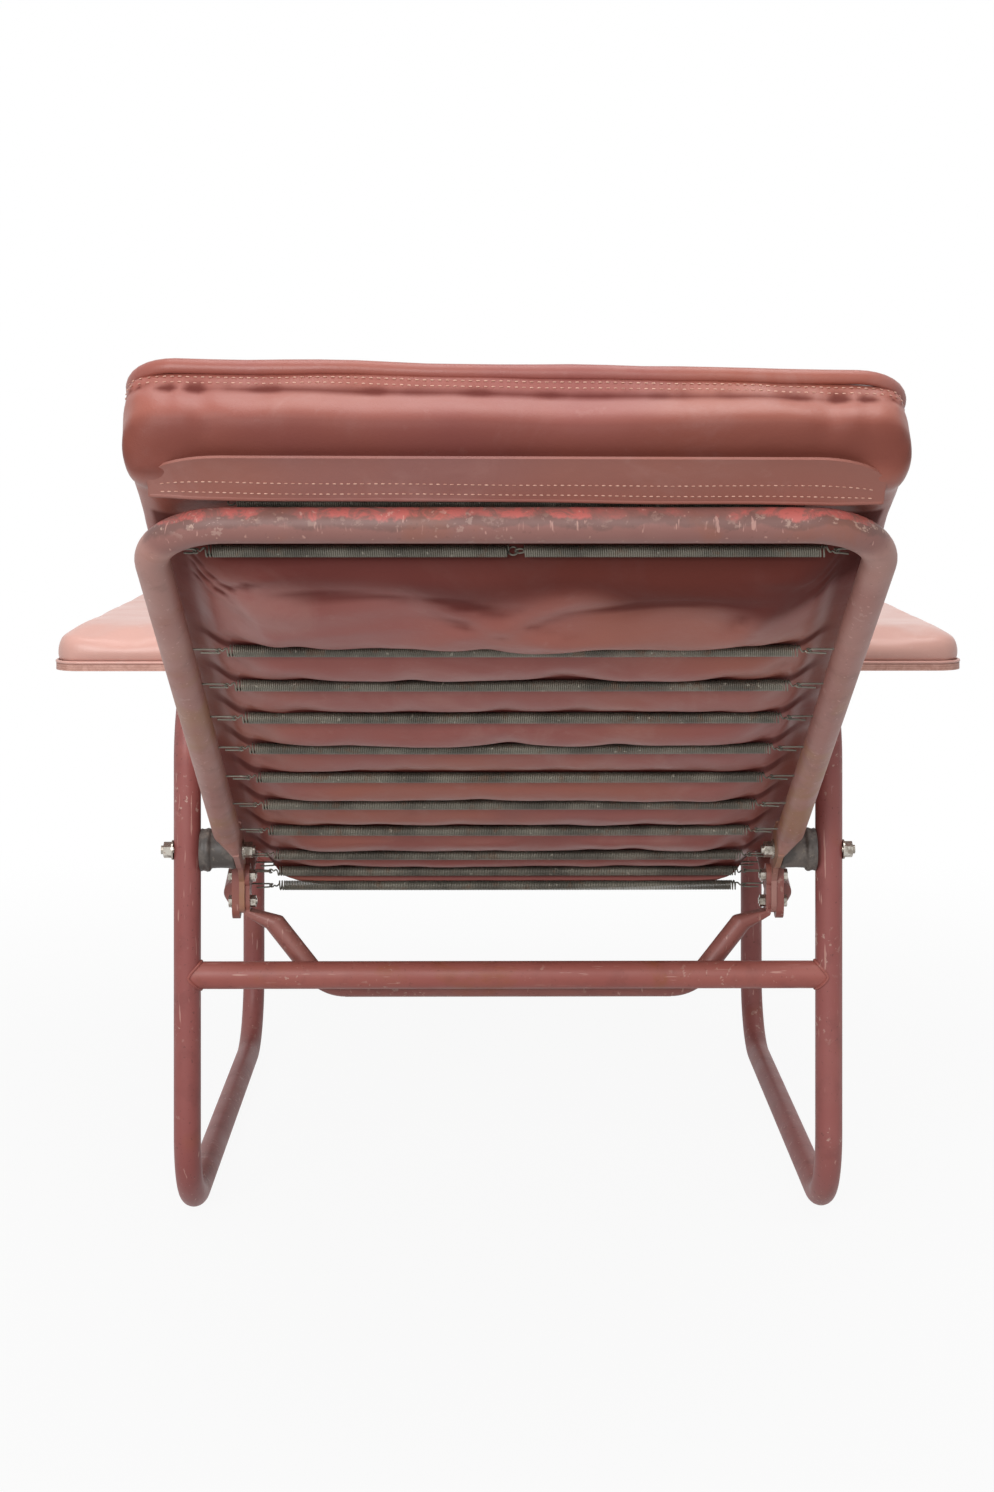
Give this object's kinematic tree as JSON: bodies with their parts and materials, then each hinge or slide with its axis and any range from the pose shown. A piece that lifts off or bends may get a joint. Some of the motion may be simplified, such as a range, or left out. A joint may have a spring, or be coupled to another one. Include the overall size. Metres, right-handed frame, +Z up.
{
  "type": "chaise lounge",
  "caption": "Tubular steel patio lounge whose spring-strung back, seat and leg frame rocks on two pivots in closed side frames with padded armrests",
  "frame": {"origin": "on the floor, in the middle of the bounding box of the chair at rest", "axes": "+X to the left of a person lying in the chair, seen from behind to the right; +Y from the head end to the foot end; +Z up"},
  "size_m": [0.834, 1.486, 0.7856],
  "materials": {
    "frame_paint": "dull red-brown enamel, scuffed and sun-faded, with chips and rust stains",
    "mattress_vinyl": "soft coated cloth, semi-matt, creased, with pale topstitching",
    "armrest_vinyl": "coated cloth over foam, slight gloss, faded salmon",
    "armrest_board": "painted plywood edge, pale and matt",
    "spring_wire": "dull grey-green oxidised wire",
    "bush_rubber": "aged dark rubber, matt",
    "zinc_hardware": "bright zinc plate"
  },
  "bodies": {
    "base": {"side_frame_left": "frame_paint", "side_frame_right": "frame_paint", "rear_crossbar": "frame_paint", "front_crossbar": "frame_paint", "armrest_board_left": "armrest_board", "armrest_board_right": "armrest_board", "armrest_pad_left": "armrest_vinyl", "armrest_pad_right": "armrest_vinyl", "armrest_screws_left": "zinc_hardware", "armrest_screws_right": "zinc_hardware", "pivot_bolt_left": "zinc_hardware", "pivot_bolt_right": "zinc_hardware", "pivot_bush_left": "bush_rubber", "pivot_bush_right": "bush_rubber", "pivot_nuts_outer": "zinc_hardware", "pivot_nuts_inner": "zinc_hardware", "pivot_washers": "zinc_hardware"},
    "lounge": {"back_frame": "frame_paint", "seat_frame": "frame_paint", "stop_bail": "frame_paint", "hip_bolts": "zinc_hardware", "hip_nuts": "zinc_hardware", "back_spring_1": "spring_wire", "back_spring_2": "spring_wire", "back_spring_3": "spring_wire", "back_spring_4": "spring_wire", "back_spring_5": "spring_wire", "back_spring_6": "spring_wire", "back_spring_7": "spring_wire", "back_spring_8": "spring_wire", "top_spring": "spring_wire", "head_spring_left": "spring_wire", "head_spring_right": "spring_wire", "hip_spring_rear": "spring_wire", "hip_spring_front": "spring_wire", "seat_spring_1": "spring_wire", "seat_spring_2": "spring_wire", "seat_spring_3": "spring_wire", "seat_spring_4": "spring_wire", "seat_spring_5": "spring_wire", "seat_spring_6": "spring_wire", "leg_spring_1": "spring_wire", "leg_spring_2": "spring_wire", "leg_spring_3": "spring_wire", "leg_spring_4": "spring_wire", "leg_spring_5": "spring_wire", "back_cushion": "mattress_vinyl", "seat_cushion": "mattress_vinyl", "leg_cushion": "mattress_vinyl", "head_pocket": "mattress_vinyl"}
  },
  "joints": [
    {"name": "lounge_rock", "type": "hinge", "parent": "base", "child": "lounge", "pos_m": [0, -0.16088, 0.351], "axis": [1, 0, 0], "range_deg": [0, 25]}
  ]
}
